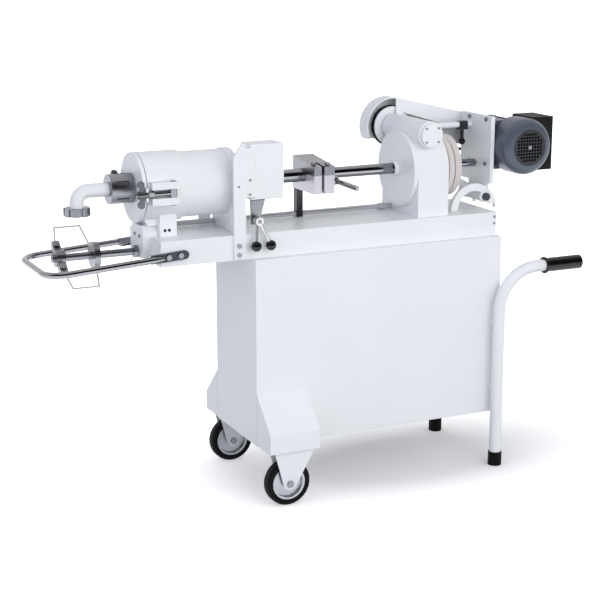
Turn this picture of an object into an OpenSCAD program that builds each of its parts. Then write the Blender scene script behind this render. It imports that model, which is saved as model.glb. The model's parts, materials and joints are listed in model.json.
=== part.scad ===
// Floor-standing meatball forming machine: a screw-fed piston press on a wheeled cabinet.
// Sizes are in mm. +Z is up, +X runs from the outlet to the handle, the near side is -Y.
// X is counted from the castor axle; every module shifts by mid_x to the middle of the machine.

/* [Cabinet] */
// Outlet-side end of the cabinet
cab_x0 = -61; // [-90:1:-40]
// Handle-side end of the cabinet
cab_x1 = 685; // [640:1:720]
// Half width of the cabinet
cab_half = 137; // [125:1:145]
// Underside of the cabinet
cab_z0 = 150; // [130:1:180]
// Top of the cabinet, where the bed rests
cab_z1 = 656; // [620:1:680]
// Sheet thickness of cabinet and legs
sheet = 3; // [2:0.5:4]
// Handle-side end of the flared legs
leg_x1 = 84; // [75:1:110]
// Half width over the legs
leg_out = 225; // [222:1:240]
// Height where the flare leaves the cabinet side
leg_top = 293; // [270:1:320]
// Height where the flare turns vertical
leg_knee = 205; // [190:1:220]
// Underside of the legs
leg_z0 = 152; // [148:1:160]

/* [Castors] */
// Tyre diameter
wheel_d = 125; // [115:1:130]
// Tyre width
wheel_w = 34; // [28:1:35]
// Wheel mid-plane from the centre line
wheel_y = 193; // [188:1:196]
// Rim diameter under the tyre
rim_d = 92; // [80:1:96]
// Axle diameter
axle_d = 12; // [10:1:16]
// Fork plate thickness
fork_t = 4; // [3:0.5:5]

/* [Handles] */
// Handle tube diameter
tube_d = 33.7; // [30:0.1:36]
// Handle tube wall
tube_wall = 2.6; // [2:0.1:4]
// Position of the upright tubes
tube_x = 665; // [640:1:680]
// Tube axis outside the cabinet side
tube_out = 31; // [27:1:43]
// Bend radius of the tube axis
tube_bend = 118; // [90:1:140]
// Height of the grip
grip_z = 568; // [520:1:620]
// Start of the grip
grip_x0 = 806; // [800:1:830]
// End of the grip
grip_x1 = 927; // [900:1:960]
// Grip diameter
grip_d = 40; // [37:1:46]

/* [Bed] */
// Outlet-side end of the bed
bed_x0 = -312; // [-318:1:-308]
// Handle-side end of the bed
bed_x1 = 678; // [650:1:682]
// Half width of the bed
bed_half = 118; // [110:1:122]
// Height of the bed box
bed_h = 66; // [60:1:72]
// Wall of the bed box
bed_t = 5; // [4:0.5:8]
// Diameter of the anti-rotation rail
rail_d = 14; // [12:1:16]
// Rail axis from the centre line
rail_y = 52; // [48:1:58]
// Rail axis above the bed
rail_up = 10; // [9:0.5:12]

/* [Barrel] */
// Feed axis above the bed
axis_up = 123; // [118:1:128]
// Barrel outside diameter
barrel_d = 170; // [164:1:174]
// Barrel wall
barrel_wall = 7; // [6:0.5:10]
// Front end of the barrel
barrel_x0 = -332; // [-336:1:-328]
// Wall of the reinforcing ring over the barrel
ring_wall = 5; // [3:0.5:7]
// Length of the reinforcing ring
ring_len = 107; // [95:1:120]
// Bulkhead face that holds the barrel
bulk_x0 = -100; // [-106:1:-94]
// Bulkhead thickness
bulk_t = 24; // [18:1:30]
// Height of the columns above the bed
col_up = 235; // [228:1:240]
// Column bar thickness
col_t = 8; // [6:1:10]
// Front edge of the columns
col_x0 = -115; // [-118:1:-112]
// Width of the columns
col_w = 33; // [30:1:36]

/* [Front cover and outlet] */
// Cover thickness
cover_t = 10; // [8:1:12]
// Seal thickness
seal_t = 2; // [1.5:0.5:3]
// Cover neck diameter under the union nut
neck_d = 60; // [54:1:64]
// Cover neck length
neck_len = 46; // [42:1:50]
// Union nut diameter
union_d = 77; // [72:1:84]
// Outlet pipe diameter
pipe_d = 36; // [32:1:40]
// Outlet pipe bore
pipe_bore = 28; // [24:1:30]
// Outlet pipe axis
outlet_x = -490; // [-500:1:-480]
// Bend radius of the outlet pipe axis
pipe_bend = 30; // [26:1:34]
// Diameter of the outlet ring nut
outlet_d = 68; // [60:1:74]
// Height of the outlet ring nut
outlet_h = 20; // [18:1:22]

/* [Swing clamps] */
// Clamp pivot outside the reinforcing ring
clamp_out = 14; // [13:0.5:17]
// Clamp pivot position along the barrel
clamp_x = -270; // [-274:1:-266]
// Clamp pin diameter
clamp_pin_d = 10; // [8:1:12]
// Swing bolt rod diameter
bolt_d = 12; // [10:1:13]
// Width over the wings of the wing nut
wing_w = 70; // [60:1:76]

/* [Cutter] */
// Cutter shaft axis below the bed top
cut_down = 43; // [41:1:45]
// Cutter shaft diameter
cut_d = 20; // [18:1:22]
// Free end of the cutter shaft
cut_x0 = -560; // [-565:1:-556]
// Sweep radius of the wire axis
wire_r = 100; // [90:1:102]
// Wire diameter
wire_d = 4.5; // [3:0.5:6]
// Guard bar diameter
bow_d = 17; // [15:1:18]
// Half width of the guard bow
bow_half = 131; // [128:1:138]
// Length of the guard bow from the bed bolts to the tip bar
bow_len = 316; // [310:1:325]
// Bend radius of the bow's corners
bow_turn = 55; // [45:1:60]
// Downward slope of the guard bow in degrees
bow_slope = 4; // [0:0.5:5]

/* [Piston feed] */
// Piston rod diameter
rod_d = 36; // [34:1:40]
// Lead screw diameter
screw_d = 30; // [26:1:31]
// Front face of the piston at rest
piston_x0 = -262; // [-270:1:-250]
// Piston thickness
piston_t = 28; // [24:1:32]
// Carriage position at rest
car_x0 = 140; // [130:1:150]
// Carriage length along the screw
car_len = 60; // [54:1:66]
// Carriage half width
car_half = 67; // [64:1:74]
// Carriage top above the feed axis
car_up = 45; // [38:1:52]
// Carriage underside below the feed axis
car_down = 44; // [36:1:48]

/* [Headstock] */
// Face of the headstock disc
head_x0 = 422; // [414:1:426]
// Headstock disc diameter
disc_d = 210; // [200:1:216]
// Headstock disc thickness
disc_t = 14; // [10:1:16]
// Length of the gear housing
house_len = 94; // [90:1:98]
// Half width of the gear housing
house_half = 103; // [102:1:105]
// Distance between the wheel and worm axes
gear_c = 101; // [99:0.5:103]
// Worm position along the machine
worm_x = 470; // [466:1:474]
// Worm blank diameter
worm_d = 41; // [36:0.5:42]
// Worm wheel blank diameter
wheel_blank_d = 159; // [150:1:160]
// Worm tunnel outside diameter
tunnel_d = 72; // [68:1:76]

/* [Belt drive] */
// Diameter of the pulley on the worm shaft
pulley_a_d = 110; // [100:1:116]
// Diameter of the pulley on the motor shaft
pulley_b_d = 80; // [70:1:86]
// Mid-plane of the belt
belt_y = 125; // [124:1:128]
// Belt width
belt_w = 13; // [10:1:14]
// Belt thickness
belt_t = 8; // [6:0.5:9]
// How far the belt stands out of its pulleys
belt_out = 2.5; // [1:0.5:3]
// Guard radius round the worm pulley
guard_ra = 80; // [76:1:84]
// Guard radius round the motor pulley
guard_rb = 60; // [56:1:62]
// Guard sheet thickness
guard_t = 3; // [2:0.5:4]

/* [Motor] */
// Motor shaft position
motor_x = 776; // [774:1:780]
// Motor shaft height above the bed
motor_up = 174; // [170:1:180]
// Foot-to-shaft distance of the motor frame
motor_h = 80; // [78:1:82]
// Motor frame diameter
frame_d = 136; // [130:1:140]
// Fan cowl diameter
cowl_d = 157; // [150:1:158]
// Length of the fan cowl
cowl_len = 85; // [80:1:88]
// Rounding of the cowl's dome
cowl_round = 27; // [20:1:30]
// Wall of the fan cowl
cowl_t = 3; // [2:0.5:4]
// Spacing of the square grille holes
grille_pitch = 9; // [8:0.5:12]
// Width of a grille hole
grille_hole = 6.4; // [5:0.1:7]
// Motor shaft diameter
motor_shaft_d = 19; // [18:0.5:20]
// Motor plate thickness
plate_t = 12; // [10:1:14]

/* [Controls] */
// Height of the control box
box_h = 144; // [130:1:150]
// Length of the control box
box_len = 94; // [88:1:100]
// Ball diameter of the control levers
ball_d = 27; // [22:1:28]

/* [Fits] */
// Radial running clearance of shafts and pins
run = 0.06; // [0.03:0.01:0.1]
// Radial clearance of large turning or sliding faces
slip = 0.4; // [0.3:0.05:0.6]

/* [Hidden] */
$fn = 64;
bow_x = -292;
bow_tip = bow_x - bow_len * cos(bow_slope) - bow_d / 2;
mid_x = (bow_tip + grip_x1) / 2;
wheel_r = wheel_d / 2;
tube_y = cab_half + tube_out;
bore_d = barrel_d - 2 * barrel_wall;
ring_d = barrel_d + 2 * ring_wall;
clamp_y = ring_d / 2 + clamp_out;
ear_in = ring_d / 2 - 30;
far_leg_z1 = 450;
cowl_y = -125;
fork_in = wheel_w / 2 + 1.5;
bed_z0 = cab_z1;
bed_z1 = bed_z0 + bed_h;
axis_z = bed_z1 + axis_up;
rail_z = bed_z1 + rail_up;
bulk_x1 = bulk_x0 + bulk_t;
cover_x1 = barrel_x0 - seal_t;
cover_x0 = cover_x1 - cover_t;
neck_x0 = cover_x0 - neck_len;
flange_x0 = neck_x0 - 8;
union_x0 = flange_x0 - 10;
union_x1 = cover_x0 - 4;
outlet_z1 = axis_z - pipe_bend;
outlet_z0 = axis_z - 61;
clamp_z = axis_z - 3;
ear_out = clamp_y + 8;
cut_z = bed_z1 - cut_down;
wire_tilt = 39.5;
block_x0 = -333;
block_x1 = -293;
block_z0 = cut_z - 15;
block_z1 = axis_z - ring_d / 2 - 5;
support_z1 = axis_z - ring_d / 2 + 35;
car_x1 = car_x0 + car_len;
rod_x0 = piston_x0 + piston_t;
seat_x = car_x0 + 20;
house_x0 = head_x0 + disc_t;
house_x1 = house_x0 + house_len;
worm_z = axis_z + gear_c;
shoulder_x = house_x1 + 10;
gland_x = house_x1 + 60;
motor_z = bed_z1 + motor_up;
plate_x1 = motor_x - motor_h;
plate_x0 = plate_x1 - plate_t;
hinge_x = plate_x0 - 7;
hinge_z = bed_z1 + 34;
strut_y = 45;
strut_z = axis_z + 103;
box_x0 = bulk_x1 + 14;
box_y0 = 6 - bed_half;
box_x1 = box_x0 + box_len;
box_z0 = bed_z1 + 86;
lever_x = -50;
lever_z = bed_z1 + 35;
ball_y = -(bed_half + col_t + ball_d / 2 + 1.5);
relax_y = -52;
relax_z = axis_z - 12;

// Solid helpers, placed in machine coordinates
module slab(x0, x1, y0, y1, z0, z1) {
    translate([x0 - mid_x, y0, z0]) cube([x1 - x0, y1 - y0, z1 - z0]);
}
module xrod(x0, x1, y, z, r) {
    translate([x0 - mid_x, y, z]) rotate([0, 90, 0]) cylinder(h = x1 - x0, r = r);
}
module yrod(x, y0, y1, z, r) {
    translate([x - mid_x, y0, z]) rotate([-90, 0, 0]) cylinder(h = y1 - y0, r = r);
}
module zrod(x, y, z0, z1, r) {
    translate([x - mid_x, y, z0]) cylinder(h = z1 - z0, r = r);
}
module xz_plate(y0, y1) {
    translate([-mid_x, y1, 0]) rotate([90, 0, 0]) linear_extrude(y1 - y0) children();
}
module yz_plate(x0, x1) {
    translate([x0 - mid_x, 0, 0]) rotate([90, 0, 90]) linear_extrude(x1 - x0) children();
}
module both() {
    children();
    mirror([0, 1, 0]) children();
}
// Round bar between two points
module bar(a, b, r) {
    d = b - a;
    len = norm(d);
    translate([a[0] - mid_x, a[1], a[2]])
        rotate([0, acos(d[2] / len), atan2(d[1], d[0])]) cylinder(h = len, r = r);
}
module ball(p, r) {
    translate([p[0] - mid_x, p[1], p[2]]) sphere(r = r);
}
// Ring of a round tube along X
module xtube(x0, x1, ro, ri) {
    difference() {
        xrod(x0, x1, 0, axis_z, ro);
        xrod(x0 - 1, x1 + 1, 0, axis_z, ri);
    }
}
// Outline round two circles of the belt drive
module two_round(ra, rb) {
    dx = motor_x - worm_x;
    dz = motor_z - worm_z;
    base = atan2(dz, dx);
    turn = acos((ra - rb) / sqrt(dx * dx + dz * dz));
    // The flats enter the rounds just inside the tangent points.
    pa = ra - 0.05;
    pb = rb - 0.05;
    translate([worm_x, worm_z]) circle(r = ra);
    translate([motor_x, motor_z]) circle(r = rb);
    polygon([[worm_x + pa * cos(base + turn), worm_z + pa * sin(base + turn)],
        [worm_x + pa * cos(base - turn), worm_z + pa * sin(base - turn)],
        [motor_x + pb * cos(base - turn), motor_z + pb * sin(base - turn)],
        [motor_x + pb * cos(base + turn), motor_z + pb * sin(base + turn)]]);
}

// Cabinet and running gear
module cabinet_ends() color([0.93, 0.94, 0.95]) {
    slab(cab_x0, cab_x0 + sheet, sheet - cab_half, cab_half - sheet, cab_z0, cab_z1);
    slab(cab_x1 - sheet, cab_x1, sheet - cab_half, cab_half - sheet, cab_z0, cab_z1);
}
module cabinet_sides() color([0.93, 0.94, 0.95]) {
    both() slab(cab_x0, cab_x1, cab_half - sheet, cab_half, cab_z0, cab_z1);
}
module cabinet_decks() color([0.93, 0.94, 0.95]) {
    half = cab_half - sheet;
    slab(cab_x0 + sheet, cab_x1 - sheet, -half, half, cab_z0, cab_z0 + sheet);
    slab(cab_x0 + sheet, cab_x1 - sheet, -half, half, cab_z1 - sheet, cab_z1);
}
module legs() color([0.93, 0.94, 0.95]) {
    slope = (leg_top - leg_knee) / (leg_out - cab_half);
    drop = sheet * sqrt(1 + slope * slope);
    inner = cab_half + sheet;
    outer = leg_out - sheet;
    both() difference() {
        yz_plate(cab_x0, leg_x1) polygon([[cab_half, leg_top], [leg_out, leg_knee],
            [leg_out, leg_z0], [cab_half, leg_z0]]);
        yz_plate(cab_x0 + sheet, leg_x1 - sheet) polygon([
            [inner, leg_top - slope * sheet - drop],
            [outer, leg_knee + slope * sheet - drop],
            [outer, leg_z0 + sheet], [inner, leg_z0 + sheet]]);
    }
}
module castor_forks() color([0.75, 0.76, 0.78]) {
    top = leg_z0 - fork_t;
    both() {
        slab(-42, 70, wheel_y - fork_in - fork_t, wheel_y + fork_in + fork_t, top, leg_z0);
        for (y = [wheel_y - fork_in - fork_t, wheel_y + fork_in])
            xz_plate(y, y + fork_t) difference() {
                union() {
                    polygon([[-42, top], [70, top], [17, wheel_r - 8], [-17, wheel_r - 8]]);
                    translate([0, wheel_r]) circle(r = 18);
                }
                translate([0, wheel_r]) circle(d = axle_d + 2 * run);
            }
    }
}
module axle_bolts() color([0.7, 0.7, 0.72]) {
    reach = fork_in + fork_t;
    both() {
        yrod(0, wheel_y - reach, wheel_y + reach, wheel_r, axle_d / 2);
        for (y = [wheel_y - reach - 6, wheel_y + reach])
            translate([-mid_x, y, wheel_r]) rotate([-90, 0, 0]) cylinder(h = 6, r = 10, $fn = 6);
    }
}
module tyre(side) color([0.1, 0.1, 0.1]) {
    r = wheel_r;
    h = wheel_w / 2;
    translate([-mid_x, side * wheel_y, wheel_r]) rotate([90, 0, 0]) rotate_extrude()
        polygon([[rim_d / 2, -h + 2], [r - 5, -h], [r, -h + 7], [r, h - 7], [r - 5, h],
            [rim_d / 2, h - 2]]);
}
module rim(side) color([0.55, 0.56, 0.58]) {
    h = wheel_w / 2;
    hub = axle_d / 2 + run;
    edge = rim_d / 2;
    translate([-mid_x, side * wheel_y, wheel_r]) rotate([90, 0, 0]) rotate_extrude()
        polygon([[hub, -h], [hub + 10, -h], [hub + 10, -9], [edge - 6, -7], [edge - 6, -h + 3],
            [edge, -h + 2], [edge, h - 2], [edge - 6, h - 3], [edge - 6, 7], [hub + 10, 9],
            [hub + 10, h], [hub, h]]);
}
module near_tyre() tyre(-1);
module near_rim() rim(-1);
module far_tyre() tyre(1);
module far_rim() rim(1);

// Push handle and far leg
module leg_tube(top) {
    ro = tube_d / 2;
    difference() {
        zrod(tube_x, tube_y, 4, top, ro);
        zrod(tube_x, tube_y, 3, top + 1, ro - tube_wall);
    }
    for (z = [210, 400])
        slab(tube_x - 6, tube_x + 6, cab_half, tube_y - ro + tube_wall / 2 + 1, z, z + 30);
}
module near_handle() color([0.92, 0.92, 0.94]) mirror([0, 1, 0]) {
    ro = tube_d / 2;
    ri = ro - tube_wall;
    z1 = grip_z - tube_bend;
    leg_tube(z1);
    translate([tube_x + tube_bend - mid_x, tube_y, z1]) rotate([90, 0, 0]) rotate([0, 0, 90])
        rotate_extrude(angle = 90) translate([tube_bend, 0]) difference() {
            circle(r = ro);
            circle(r = ri);
        }
    translate([0, tube_y, grip_z - axis_z]) xtube(tube_x + tube_bend, grip_x1 - 5, ro, ri);
}
module far_leg() color([0.92, 0.92, 0.94]) {
    leg_tube(far_leg_z1);
    zrod(tube_x, tube_y, far_leg_z1, far_leg_z1 + 4, tube_d / 2);
}
module grip() color([0.08, 0.08, 0.09]) {
    difference() {
        union() {
            xrod(grip_x0, grip_x1, -tube_y, grip_z, grip_d / 2);
            xrod(grip_x0, grip_x0 + 6, -tube_y, grip_z, grip_d / 2 + 3.5);
        }
        xrod(grip_x0 - 1, grip_x1 - 5, -tube_y, grip_z, tube_d / 2);
    }
}
module foot_caps() color([0.08, 0.08, 0.09]) {
    both() difference() {
        zrod(tube_x, tube_y, 0, 40, tube_d / 2 + 2.5);
        zrod(tube_x, tube_y, 4, 41, tube_d / 2);
    }
}

// Bed
module bed() color([0.93, 0.94, 0.95]) {
    difference() {
        slab(bed_x0, bed_x1, -bed_half, bed_half, bed_z0, bed_z1);
        slab(bed_x0 + bed_t, bed_x1 - bed_t, bed_t - bed_half, bed_half - bed_t, bed_z0 + bed_t,
            bed_z1 - bed_t);
        xrod(bed_x0 - 1, bed_x0 + bed_t + 1, 0, cut_z, cut_d / 2 + slip);
    }
}
module guide_rail() color([0.8, 0.8, 0.82]) {
    xrod(-268, house_x0 + 10, rail_y, rail_z, rail_d / 2);
    xrod(head_x0 - 28, head_x0 - 6, rail_y, rail_z, rail_d / 2 + 2.5);
}

// Barrel, clamps and cover
module barrel() color([0.92, 0.93, 0.94]) {
    xtube(barrel_x0, bulk_x0, barrel_d / 2, bore_d / 2);
}
module front_ring() color([0.93, 0.94, 0.95]) {
    xtube(barrel_x0, barrel_x0 + ring_len, ring_d / 2, barrel_d / 2);
    difference() {
        both() {
            slab(clamp_x - 58, clamp_x + 12, ear_in, ear_out, clamp_z + 11, clamp_z + 29);
            slab(clamp_x - 58, clamp_x + 12, ear_in, ear_out, clamp_z - 29, clamp_z - 11);
        }
        xrod(barrel_x0, 0, 0, axis_z, barrel_d / 2);
        both() zrod(clamp_x, clamp_y, clamp_z - 40, clamp_z + 40, clamp_pin_d / 2 + run);
    }
}
module clamp_pins() color([0.75, 0.76, 0.78]) {
    both() {
        zrod(clamp_x, clamp_y, clamp_z - 29, clamp_z + 29, clamp_pin_d / 2);
        zrod(clamp_x, clamp_y, clamp_z + 29, clamp_z + 32, clamp_pin_d / 2 + 2);
        zrod(clamp_x, clamp_y, clamp_z - 32, clamp_z - 29, clamp_pin_d / 2 + 2);
    }
}
module front_cover() color([0.9, 0.9, 0.93]) {
    difference() {
        union() {
            xrod(cover_x0, cover_x1, 0, axis_z, ring_d / 2);
            xrod(neck_x0, cover_x0, 0, axis_z, neck_d / 2);
            both() slab(cover_x0, cover_x0 + 5.5, ear_in, ear_out, clamp_z - 17, clamp_z + 17);
        }
        both() slab(cover_x0 - 1, cover_x1, clamp_y - bolt_d / 2 - 1, ear_out + 1,
            clamp_z - bolt_d / 2 - 1, clamp_z + bolt_d / 2 + 1);
        xrod(neck_x0 - 1, cover_x1 + 1, 0, axis_z, pipe_bore / 2);
    }
}
module cover_seal() color([0.2, 0.2, 0.2]) {
    xtube(cover_x1, barrel_x0, barrel_d / 2 - 1, bore_d / 2 + 1);
}
module elbow() color([0.93, 0.93, 0.95]) {
    ro = pipe_d / 2;
    ri = pipe_bore / 2;
    bend_x = outlet_x + pipe_bend;
    xtube(flange_x0, neck_x0, neck_d / 2 - 1, ri);
    xtube(bend_x, flange_x0, ro, ri);
    translate([bend_x - mid_x, 0, outlet_z1]) rotate([90, 0, 0]) rotate([0, 0, 90])
        rotate_extrude(angle = 90) translate([pipe_bend, 0]) difference() {
            circle(r = ro);
            circle(r = ri);
        }
    difference() {
        zrod(outlet_x, 0, outlet_z0 + 2, outlet_z1, ro);
        zrod(outlet_x, 0, outlet_z0 + 1, outlet_z1 + 1, ri);
    }
}
module outlet_ring() color([0.7, 0.71, 0.73]) {
    difference() {
        zrod(outlet_x, 0, outlet_z0, outlet_z0 + outlet_h, outlet_d / 2);
        zrod(outlet_x, 0, outlet_z0 + 2, outlet_z0 + outlet_h + 1, pipe_d / 2);
        zrod(outlet_x, 0, outlet_z0 - 1, outlet_z0 + 3, pipe_bore / 2);
        for (a = [0:45:315])
            translate([outlet_x - mid_x, 0, outlet_z0 - 1]) rotate([0, 0, a])
                translate([outlet_d / 2 - 5, -5, 0]) cube([10, 10, outlet_h + 2]);
    }
}
module union_nut() color([0.72, 0.73, 0.75]) {
    difference() {
        xrod(union_x0, union_x1, 0, axis_z, union_d / 2);
        xrod(flange_x0 - 0.5, union_x1 + 1, 0, axis_z, neck_d / 2 + slip);
        xrod(union_x0 - 1, union_x1, 0, axis_z, pipe_d / 2 + slip);
        for (a = [30:60:330])
            translate([-mid_x, 0, axis_z]) rotate([a, 0, 0])
                translate([union_x0 + 14, union_d / 2 - 3, -5]) cube([32, 6, 10]);
    }
}
module swing_bolt() color([0.75, 0.76, 0.78]) {
    tip = cover_x0 - 27;
    difference() {
        union() {
            zrod(clamp_x, clamp_y, clamp_z - 10.5, clamp_z + 10.5, 10);
            xrod(tip, clamp_x, clamp_y, clamp_z, bolt_d / 2);
            translate([clamp_x - 67 - mid_x, clamp_y, clamp_z]) rotate([0, 90, 0])
                cylinder(h = 14, r = 10.5, $fn = 6);
        }
        zrod(clamp_x, clamp_y, clamp_z - 20, clamp_z + 20, clamp_pin_d / 2 + run);
    }
}
module near_swing_bolt() mirror([0, 1, 0]) swing_bolt();
module far_swing_bolt() swing_bolt();
module wing_nut() color([0.45, 0.45, 0.52]) {
    x1 = cover_x0 - 0.6;
    wing = wing_w / 2 - 9;
    difference() {
        union() {
            xrod(x1 - 19, x1, clamp_y, clamp_z, 10);
            slab(x1 - 13, x1 - 2, clamp_y - 4, clamp_y + 4, clamp_z - wing, clamp_z + wing);
            for (s = [-1, 1])
                yrod(x1 - 11, clamp_y - 4, clamp_y + 4, clamp_z + s * wing, 9);
        }
        xrod(x1 - 30, x1 + 1, clamp_y, clamp_z, bolt_d / 2 + run);
    }
}
module near_wing_nut() mirror([0, 1, 0]) wing_nut();
module far_wing_nut() wing_nut();

// Front support and cutter
module front_support() color([0.9, 0.9, 0.93]) {
    difference() {
        union() {
            xz_plate(-62, 62) polygon([[block_x1 + 0.5, bed_z1], [-247, bed_z1], [-247, support_z1],
                [block_x1 + 0.5, support_z1]]);
            xz_plate(-45, 45) polygon([[-318, block_z1], [-280, block_z1], [-280, support_z1],
                [-340, support_z1]]);
        }
        xrod(-400, 0, 0, axis_z, ring_d / 2);
        xrod(-268, 0, rail_y, rail_z, rail_d / 2);
    }
}
module bearing_block() color([0.85, 0.85, 0.9]) {
    difference() {
        union() {
            yz_plate(block_x0, bed_x0 - 0.2) polygon([[-46, cut_z + 20], [-46, block_z1 - 14],
                [-32, block_z1], [32, block_z1], [46, block_z1 - 14], [46, cut_z + 20],
                [26, block_z0], [-26, block_z0]]);
            yz_plate(bed_x0 - 0.2, block_x1) polygon([[-46, bed_z1], [-46, block_z1 - 14],
                [-32, block_z1], [32, block_z1], [46, block_z1 - 14], [46, bed_z1]]);
        }
        xrod(block_x0 - 1, bed_x0, 0, cut_z, cut_d / 2 + run);
        for (y = [-18, 18])
            xrod(block_x0 - 1, block_x0 + 12, y, bed_z1, 5);
        slab(block_x0 + 6, -322, -7, 7, block_z1 - 6, block_z1 + 1);
    }
}
module guard_bow() color([0.6, 0.6, 0.62]) {
    r = bow_d / 2;
    turn = bow_turn;
    straight = bow_len - turn;
    lug_t = bow_half - bed_half - 3;
    translate([bow_x - mid_x, 0, bed_z1 - 39]) rotate([0, -bow_slope, 0]) {
        both() {
            translate([-straight, bow_half, 0]) rotate([0, 90, 0]) cylinder(h = straight - 44, r = r);
            translate([-44, bow_half, 0]) rotate([0, 90, 0]) cylinder(h = 28, r1 = r, r2 = 5);
            translate([-straight, bow_half - turn, 0]) rotate([0, 0, 90])
                rotate_extrude(angle = 90) translate([turn, 0]) circle(r = r);
            translate([0, bed_half + lug_t, 0]) rotate([90, 0, 0]) linear_extrude(lug_t) {
                translate([-50, -11]) square([92, 22]);
                translate([42, 0]) circle(r = 11);
            }
            for (x = [-2, 30])
                translate([x, bed_half + lug_t, 0]) rotate([-90, 0, 0]) cylinder(h = 4, r = 7);
        }
        translate([-bow_len, turn - bow_half, 0]) rotate([-90, 0, 0])
            cylinder(h = 2 * (bow_half - turn), r = r);
    }
}
module cutter_shaft() color([0.7, 0.7, 0.72]) {
    xrod(cut_x0, bed_x0 + 22, 0, cut_z, cut_d / 2);
    xrod(block_x0 - 13, block_x0 - 1, 0, cut_z, cut_d / 2 + 6);
    xrod(-456, -441, 0, cut_z, 34.5);
    xrod(cut_x0 + 8, cut_x0 + 32, 0, cut_z, 22);
    translate([cut_x0 + 10 - mid_x, 0, cut_z]) rotate([wire_tilt, 0, 0]) {
        translate([0, -50, -9]) cube([20, 100, 18]);
        for (s = [-1, 1])
            translate([10, s * 36, 9]) cylinder(h = 7, r = 8);
    }
}
module cutter_wires() color([0.85, 0.85, 0.87]) {
    r = wire_d / 2;
    translate([0, 0, cut_z]) for (s = [0, 180]) rotate([s + wire_tilt, 0, 0]) {
        bar([cut_x0 + 19, 38, 0], [-529, wire_r + 0.8, 0], r);
        bar([-531, wire_r, 0], [-460, wire_r, 0], r - 0.15);
        bar([-462, wire_r + 0.8, 0], [-452.5, 30, 0], r);
    }
}

// Bulkhead and controls
module bulkhead() color([0.93, 0.94, 0.95]) {
    difference() {
        yz_plate(bulk_x0, bulk_x1) {
            translate([0, axis_z]) circle(r = barrel_d / 2 + 3);
            translate([-62, bed_z1]) square([124, axis_z - bed_z1]);
            translate([box_y0, axis_z - 24]) square([bed_half - box_y0, 40]);
        }
        xrod(bulk_x0 - 1, bulk_x1 + 1, 0, axis_z, rod_d / 2 + run);
        xrod(bulk_x0 - 1, bulk_x1 + 1, rail_y, rail_z, rail_d / 2);
    }
}
module columns() color([0.93, 0.94, 0.95]) {
    x1 = col_x0 + col_w;
    low = bed_z0 + 4;
    top = bed_z1 + col_up;
    bolt_x = col_x0 + 14;
    side = bed_half + col_t;
    xz_plate(-side, -bed_half) polygon([[col_x0, low], [x1, low], [x1, top], [x1 - 9, top],
        [col_x0, top - 34]]);
    xz_plate(bed_half, side) polygon([[col_x0, low], [x1, low], [x1, axis_z + 16], [col_x0, axis_z + 16]]);
    both() for (z = [bed_z0 + 15, bed_z0 + 39])
        yrod(bolt_x, side, side + 4, z, 6);
    yrod(bolt_x, -side - 2, -side, axis_z + 3, 3);
}
module control_box() color([0.93, 0.94, 0.95]) {
    z1 = box_z0 + box_h;
    difference() {
        slab(box_x0, box_x1, box_y0, -45, box_z0, z1);
        slab(box_x0 + 2, box_x1 - 2, box_y0 + 2, -47, box_z0 + 2, z1 - 2);
    }
    slab(col_x0 + 12, box_x0 + 12, -bed_half, box_y0, box_z0 + 8, z1 - 8);
}
module lever_bracket() color([0.6, 0.6, 0.62]) {
    xz_plate(box_y0, box_y0 + 8) polygon([[lever_x - 12, box_z0], [lever_x + 28, box_z0],
        [lever_x + 10, lever_z - 12], [lever_x - 10, lever_z - 12]]);
    yrod(lever_x, -143, box_y0, lever_z, 5);
}
module control_lever(y0, ball_x) {
    p = [ball_x, ball_y, bed_z1 - 29];
    difference() {
        union() {
            yrod(lever_x, y0, y0 + 8, lever_z, 11);
            bar([lever_x, y0 + 4, lever_z], p, 4);
            ball(p, ball_d / 2);
        }
        yrod(lever_x, y0 - 9, y0 + 18, lever_z, 5 + run);
    }
}
module lever_a() color([0.3, 0.3, 0.32]) control_lever(-130, -60);
module lever_b() color([0.3, 0.3, 0.32]) control_lever(-142, -19);

// Piston and carriage
module piston() color([0.85, 0.86, 0.87]) {
    difference() {
        xrod(piston_x0, rod_x0, 0, axis_z, bore_d / 2 - slip - 0.2);
        difference() {
            xrod(piston_x0 + 10, rod_x0 - 10, 0, axis_z, bore_d / 2);
            xrod(piston_x0 + 9, rod_x0 - 9, 0, axis_z, bore_d / 2 - 6);
        }
    }
}
module piston_seal() color([0.15, 0.15, 0.15]) {
    xtube(piston_x0 + 10, rod_x0 - 10, bore_d / 2 - slip, bore_d / 2 - 6);
}
module piston_rod() color([0.75, 0.75, 0.77]) {
    difference() {
        xrod(rod_x0, seat_x, 0, axis_z, rod_d / 2);
        xrod(rod_x0 + 20, seat_x + 1, 0, axis_z, screw_d / 2 + slip);
    }
}
module split_nut() color([0.6, 0.6, 0.64]) {
    z0 = axis_z - car_down;
    z1 = axis_z + car_up;
    difference() {
        union() {
            slab(car_x0, car_x1, -car_half, car_half, z0, z1);
            xrod(car_x1, car_x1 + 16, relax_y, relax_z, 5);
        }
        xrod(car_x0 - 1, seat_x, 0, axis_z, rod_d / 2);
        xrod(seat_x - 1, car_x1 + 1, 0, axis_z, screw_d / 2 + run);
        slab(car_x0 + 22, car_x0 + 30, -car_half - 1, -22, z0 - 1, z1 + 1);
    }
    for (p = [[car_x0 + 10, -40], [car_x0 + 45, -52]])
        zrod(p[0], p[1], z1, z1 + 7, 7);
}
module guide_post() color([0.5, 0.5, 0.52]) {
    difference() {
        slab(car_x0, car_x0 + 18, rail_y - 11, rail_y + 11, bed_z1 + 1, axis_z - car_down);
        xrod(car_x0 - 1, car_x0 + 19, rail_y, rail_z, rail_d / 2 + run);
        slab(car_x0 - 1, car_x0 + 19, rail_y - rail_d / 2 - run, rail_y + rail_d / 2 + run, bed_z1,
            rail_z);
    }
}
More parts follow.
